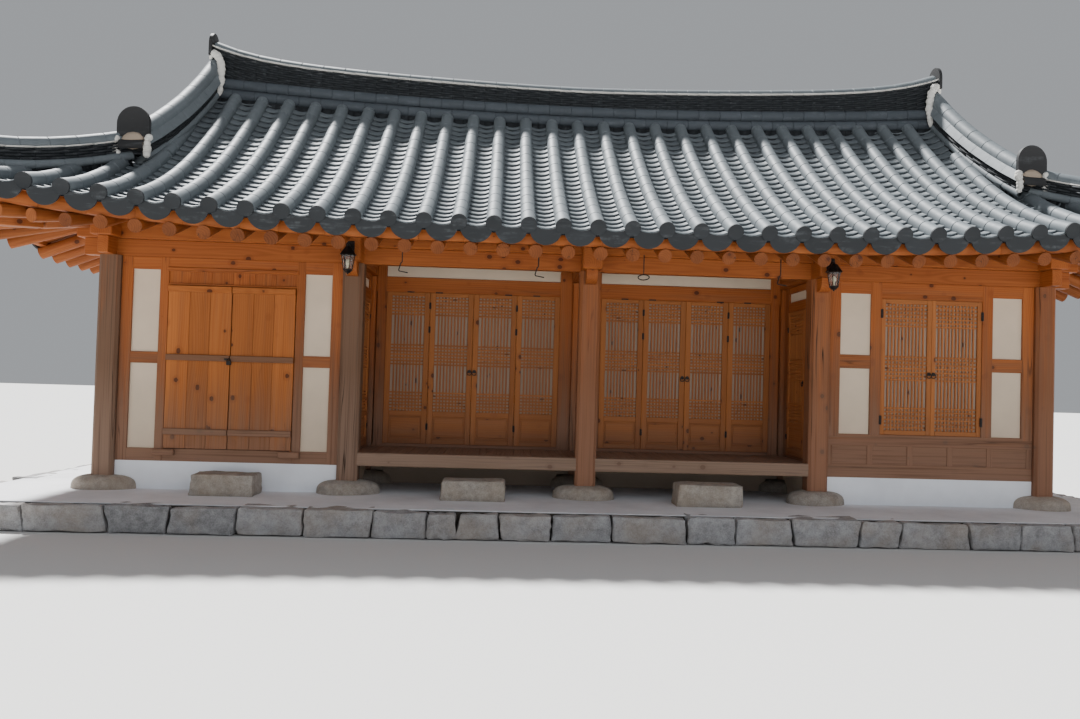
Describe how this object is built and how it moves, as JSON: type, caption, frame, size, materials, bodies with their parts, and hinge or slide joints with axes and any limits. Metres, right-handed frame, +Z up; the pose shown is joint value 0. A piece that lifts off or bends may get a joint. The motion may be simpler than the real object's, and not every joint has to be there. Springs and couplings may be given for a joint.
{
  "type": "hanok house",
  "caption": "Traditional one-storey timber house with a curved hip-and-gable tiled roof, an open plank porch with folding lattice doors, plastered walls and a stone platform.",
  "frame": {"origin": "centre of the platform, on the level that it stands on", "axes": "+X along the long front to the right as seen from the front, +Y towards the back wall, +Z up"},
  "size_m": [12.2108, 6.2108, 5.52],
  "materials": {
    "granite": "rough split",
    "timber": "oiled pine",
    "column": "oiled pine, grey and weathered near the ground",
    "plank": "oiled pine boards",
    "lattice": "pale pine lattice backed with paper",
    "floorboard": "worn pine boards",
    "rafter": "oiled pine poles",
    "plaster": "matt lime plaster",
    "floor_paper": "clay floor under oiled paper",
    "roof_tile": "smoked clay tile, satin",
    "gable": "pine barge boards and infill boards",
    "iron": "black painted"
  },
  "bodies": {
    "house": {"stone_platform": "granite", "stepping_stone_left": "granite", "stepping_stone_middle": "granite", "stepping_stone_right": "granite", "crossbeam_1": "timber", "crossbeam_2": "timber", "crossbeam_3": "timber", "front_column_1": "column", "front_column_2": "column", "front_column_3": "column", "front_column_4": "column", "front_column_5": "column", "eave_purlins": "timber", "ridge_purlin": "timber", "front_left_wall_frame": "timber", "front_left_wall_plaster": "plaster", "front_right_wall_frame": "timber", "front_right_wall_plaster": "plaster", "window_leaf_left": "lattice", "window_leaf_right": "lattice", "porch_wall_frame": "timber", "porch_wall_plaster": "plaster", "porch_foundation_left": "plaster", "porch_foundation_right": "plaster", "folding_doors_1": "lattice", "folding_doors_2": "lattice", "folding_doors_3": "lattice", "folding_doors_4": "lattice", "porch_left_end_frame": "timber", "porch_left_end_plaster": "plaster", "porch_right_end_frame": "timber", "porch_right_end_plaster": "plaster", "left_end_wall_frame": "timber", "left_end_wall_plaster": "plaster", "right_end_wall_frame": "timber", "right_end_wall_plaster": "plaster", "back_wall_frame": "timber", "back_wall_plaster": "plaster", "porch_floor": "floorboard", "room_floor": "floor_paper", "rafters_front": "rafter", "rafters_back": "rafter", "rafters_right": "rafter", "rafters_left": "rafter", "roof_tile_bed": "roof_tile", "gable_right": "gable", "gable_left": "gable", "main_ridge": "roof_tile", "corner_ridge_front_right": "roof_tile", "corner_ridge_front_left": "roof_tile", "corner_ridge_back_right": "roof_tile", "corner_ridge_back_left": "roof_tile", "lantern_left": "iron", "lantern_right": "iron"},
    "plank_door_left": {"plank_door_left": "plank"},
    "plank_door_right": {"plank_door_right": "plank"},
    "side_door_left": {"side_door_left": "lattice"},
    "side_door_right": {"side_door_right": "lattice"}
  },
  "joints": [
    {"name": "plank_door_left_hinge", "type": "hinge", "parent": "house", "child": "plank_door_left", "pos_m": [-4.228, -1.852, 1.47], "axis": [0, 0, -1], "range_deg": [0, 95]},
    {"name": "plank_door_right_hinge", "type": "hinge", "parent": "house", "child": "plank_door_right", "pos_m": [-2.972, -1.852, 1.47], "axis": [0, 0, 1], "range_deg": [0, 95]},
    {"name": "side_door_left_hinge", "type": "hinge", "parent": "house", "child": "side_door_left", "pos_m": [-2.348, -0.965, 1.485], "axis": [0, 0, 1], "range_deg": [0, 85]},
    {"name": "side_door_right_hinge", "type": "hinge", "parent": "house", "child": "side_door_right", "pos_m": [2.348, -0.965, 1.485], "axis": [0, 0, -1], "range_deg": [0, 85]}
  ]
}
